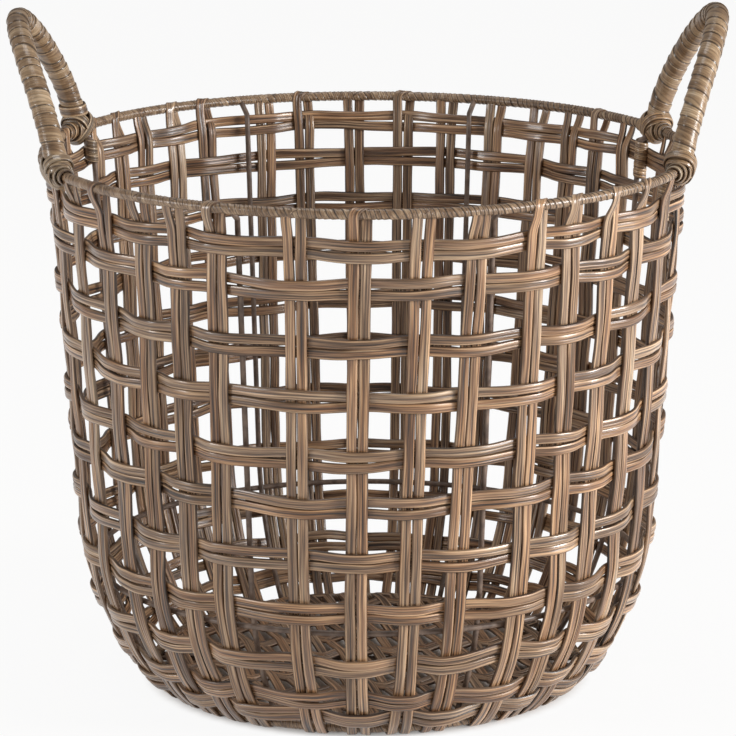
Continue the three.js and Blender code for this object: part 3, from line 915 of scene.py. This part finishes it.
def round_tube(bm, points, across, size, closed=False):
    turn = 2 * np.pi * np.arange(WIRE_RING) / WIRE_RING
    circle = np.stack([size * np.cos(turn), size * np.sin(turn)], -1)
    swept_grid(bm, points, across, np.tile(circle, (len(points), 1, 1)), closed)


def make_wire_frame():
    bm = bmesh.new()
    angles = np.arange(HOOP_POINTS) * 360 / HOOP_POINTS
    waist_radius = float(wall_radius(WAIST_DROP)) - WAIST_INSET
    hoops = (RIM_RADIUS, RIM_HEIGHT), (waist_radius, RIM_HEIGHT - WAIST_DROP), (BASE_RADIUS, BASE_HEIGHT)
    for radius, height in hoops:
        round_tube(bm, place(angles, radius, height), outward(angles), HOOP_WIRE_SIZE, closed=True)
    drop = np.linspace(*UPRIGHT_SPAN, UPRIGHT_POINTS)
    for angle in (*UPRIGHTS, *HANDLE_LEGS["left"], *HANDLE_LEGS["right"]):
        top = place(angle, RIM_RADIUS, RIM_HEIGHT)[None]
        wall = place(angle, wall_radius(drop) - UPRIGHT_INSET, RIM_HEIGHT - drop)
        foot = place(angle, BASE_RADIUS, BASE_HEIGHT)[None]
        points = np.concatenate([top, wall, foot])
        round_tube(bm, points, all_along(points, sideways(angle)), UPRIGHT_SIZE)
    for side in HANDLE_LEGS:
        points, flat = handle_arch(side, ROD_POINTS)
        round_tube(bm, points, all_along(points, flat), ROD_SIZE)
    for angle in (0, 90):
        points = place([angle, angle + 180], BASE_RADIUS, BASE_HEIGHT + CROSS_WIRE_LIFT)
        round_tube(bm, points, all_along(points, UP), CROSS_WIRE_SIZE)
    finished("wire_frame_rods", bm, wire_finish, "wire", "wire_frame")


make_wire_frame()


# Lashings: crossed bands that tie a handle's leg to the rim, turns wound round the rim on both sides of it,
# and a few turns round the upright below. The back leg of the left handle also has a collar.

LASHING_SEED = 1100
LASHING_END_SEED = 10

# Crossed bands: the way that each leans, how steeply, and how far it lies over the ones before
LASHING_BANDS = ((1, 0.6, 0.2), (-1, 0.8, 0.9), (1, 1.5, 1.6), (-1, 1.3, 2.4))
BAND_POINTS = 48
BAND_WIDTH = 6.6
BAND_DEPTH = 1.6
BAND_RISE = 0.6
BAND_REACH_ABOVE = 9.6
BAND_REACH_BELOW = 8.2
BAND_THICKNESS = 4.6
BAND_SWELL_ABOVE = 3.6
BAND_SQUARENESS = 0.75

# Collar: how far up the leg it sits and how much it leans
COLLAR_RISE = 13
COLLAR_WIDTH = 7.4
COLLAR_ROOM = 0.7
COLLAR_TILT = 2.2

# Turns of strip: round the rim, which swell towards the leg, and round the upright
COIL_TURN = 4.6
COIL_WIDTH = COIL_TURN + 0.4
COIL_DEPTH = 1.5
RIM_COIL_SPAN = (3, 17)
RIM_COIL_ROOM = 0.7
RIM_COIL_SWELL = 4.2
RIM_COIL_POINTS = 120
UPRIGHT_COIL_TURNS = {"left": 3, "right": 5}
UPRIGHT_COIL_DROP = 7
UPRIGHT_COIL_SIZE = 3.6
UPRIGHT_COIL_POINTS = 24


def add_band(bm, points, across, rng, width=BAND_WIDTH):
    """A closed ring of flat strip."""
    section = strand_section(travel_along(points), rng, width, BAND_DEPTH)
    swept_grid(bm, points, all_along(points, across), section, closed=True)


def add_coil(bm, points, across, rng):
    """Open turns of flat strip."""
    section = strand_section(travel_along(points), rng, COIL_WIDTH, COIL_DEPTH)
    swept_grid(bm, points, all_along(points, across), section)


def make_lashing(side, end):
    leg = HANDLE_LEGS[side][end]
    rng = np.random.default_rng(LASHING_SEED + LASHING_END_SEED * end + len(side))
    arch, flat = handle_arch(side)
    if end == 0:
        arch = arch[::-1]
    at = np.searchsorted(travel_along(arch), COLLAR_RISE)
    rise = unit(unit(arch[at] - arch[0]) + UP)
    depth = unit(np.cross(sideways(leg), rise))
    foot = place(leg, RIM_RADIUS, RIM_HEIGHT)
    bm = bmesh.new()
    turn = np.linspace(0, 2 * np.pi, BAND_POINTS, endpoint=False)
    cos, sin = np.cos(turn), np.sin(turn)
    for way, steepness, lift in LASHING_BANDS:
        lean = unit(way * sideways(leg) + steepness * rise)
        far = cos * (np.where(cos > 0, BAND_REACH_ABOVE, BAND_REACH_BELOW) + lift)
        thickness = BAND_THICKNESS + lift + BAND_SWELL_ABOVE * ease((cos + 1) / 2)
        deep = np.sign(sin) * np.abs(sin) ** BAND_SQUARENESS * thickness
        points = foot + BAND_RISE * rise + far[:, None] * lean + deep[:, None] * depth
        add_band(bm, points, np.cross(lean, depth), rng)
    if side == "left" and end == 0:
        axis = unit(arch[at + 2] - arch[at - 2])
        out = unit(np.cross(flat, axis))
        ring = (HANDLE_SIZE + COLLAR_ROOM) * (cos[:, None] * flat + sin[:, None] * out)
        ring += COLLAR_TILT * cos[:, None] * axis
        add_band(bm, arch[at] + ring, axis, rng, COLLAR_WIDTH)
    beside = np.linspace(*RIM_COIL_SPAN, RIM_COIL_POINTS)
    turn = 2 * np.pi * beside / COIL_TURN
    size = BINDING_SIZE + RIM_COIL_ROOM + RIM_COIL_SWELL * (1 - ease(beside / RIM_COIL_SPAN[1]))
    for way in (-1, 1):
        angle = leg + way * np.degrees(beside / RIM_RADIUS)
        points = place(angle, RIM_RADIUS + size * np.cos(turn), RIM_HEIGHT + size * np.sin(turn))
        add_coil(bm, points, sideways(leg), rng)
    turns = UPRIGHT_COIL_TURNS[side]
    turn = np.linspace(0, 2 * np.pi * turns, UPRIGHT_COIL_POINTS * turns)
    drop = UPRIGHT_COIL_DROP + COIL_TURN * turn / (2 * np.pi)
    upright_radius = wall_radius(drop) - UPRIGHT_INSET
    radius = upright_radius + UPRIGHT_COIL_SIZE / 2 + UPRIGHT_COIL_SIZE * np.cos(turn)
    points = place(leg, radius, RIM_HEIGHT - drop, UPRIGHT_COIL_SIZE * np.sin(turn))
    add_coil(bm, points, UP, rng)
    name = f"lashing_{side}_{'ba'[end]}"
    piece = finished(name + "_band", bm, band_finish, "handle_strip", name)
    set_tone(piece, rng.random())


for lashing_side in HANDLE_LEGS:
    for lashing_end in (0, 1):
        make_lashing(lashing_side, lashing_end)


# Floor, light and camera, in metres

FLOOR_SIZE = 9
FLOOR_COLOUR = (0.82, 0.77, 0.72, 1)
WHITE = (1, 1, 1, 1)
GLOW = 0.93
GLOW_START = (0.126, 0.146)
WORLD_LIGHT = 0.27
LAMP_AIM = (0, 0, 0.2)


def make_floor():
    """A pale floor that looks white, also in gloss, from just inside the basket's foot outwards."""
    bm = bmesh.new()
    bmesh.ops.create_grid(bm, x_segments=1, y_segments=1, size=FLOOR_SIZE)
    mesh = bpy.data.meshes.new("floor")
    bm.to_mesh(mesh)
    bm.free()
    floor = bpy.data.objects.new("floor", mesh)
    bpy.context.scene.collection.objects.link(floor)
    material, tree, shader = new_material("white_floor", Roughness=0.9, Base_Color=FLOOR_COLOUR)
    start = Wire(tree, 0.0)
    rays = tree.nodes.new("ShaderNodeLightPath")
    seen = Wire(tree, rays.outputs["Is Camera Ray"])
    in_gloss = Wire(tree, rays.outputs["Is Glossy Ray"])
    away = start.node("ShaderNodeVectorMath", {"operation": "LENGTH"}, out=1, i0=object_place(tree))
    glowing = seen.math("MAXIMUM", in_gloss) * away.spread(*GLOW_START) * GLOW
    glow = start.node("ShaderNodeEmission", Color=WHITE, Strength=1.0)
    mix = tree.nodes.new("ShaderNodeMixShader")
    tree.links.new(glowing.value, mix.inputs[0])
    tree.links.new(shader.outputs[0], mix.inputs[1])
    tree.links.new(glow.value, mix.inputs[2])
    tree.links.new(mix.outputs[0], tree.nodes["Material Output"].inputs[0])
    mesh.materials.append(material)


def add_lamp(name, spot, size, power):
    lamp = bpy.data.lights.new(name, "AREA")
    lamp.size = size
    lamp.energy = power
    lamp_object = bpy.data.objects.new(name, lamp)
    bpy.context.scene.collection.objects.link(lamp_object)
    lamp_object.location = spot
    lamp_object.rotation_euler = (Vector(LAMP_AIM) - Vector(spot)).to_track_quat("-Z", "Y").to_euler()


def make_world():
    world = bpy.data.worlds.new("studio")
    bpy.context.scene.world = world
    world.use_nodes = True
    background = world.node_tree.nodes["Background"]
    background.inputs[0].default_value = WHITE
    background.inputs[1].default_value = WORLD_LIGHT


make_floor()
make_world()
add_lamp("key", (2.25, -0.72, 0.75), 0.8, 64)
add_lamp("left_box", (-2.1, -1.1, 0.75), 0.5, 18)
add_lamp("top_box", (-0.3, 0.5, 2.4), 0.9, 10)

# The photograph's frame, focal length and middle line, in pixels, and where its camera stands
FRAME_SIZE = 736
FOCAL_LENGTH = 3925
MIDDLE_LINE = 366.5
SENSOR_WIDTH = 36
CAMERA_BACK = 2.4
CAMERA_ABOVE_RIM = 0.446
CAMERA_TILT = 13.7

camera = bpy.data.cameras.new("camera")
camera.sensor_width = SENSOR_WIDTH
camera.lens = FOCAL_LENGTH / FRAME_SIZE * SENSOR_WIDTH
camera.shift_x = (FRAME_SIZE / 2 - MIDDLE_LINE) / FRAME_SIZE
camera_object = bpy.data.objects.new("camera", camera)
bpy.context.scene.collection.objects.link(camera_object)
camera_object.location = (0, -CAMERA_BACK, RIM_HEIGHT * MM + CAMERA_ABOVE_RIM)
camera_object.rotation_euler = (math.radians(90 - CAMERA_TILT), 0, 0)
bpy.context.scene.camera = camera_object
bpy.context.scene.view_settings.view_transform = "Standard"
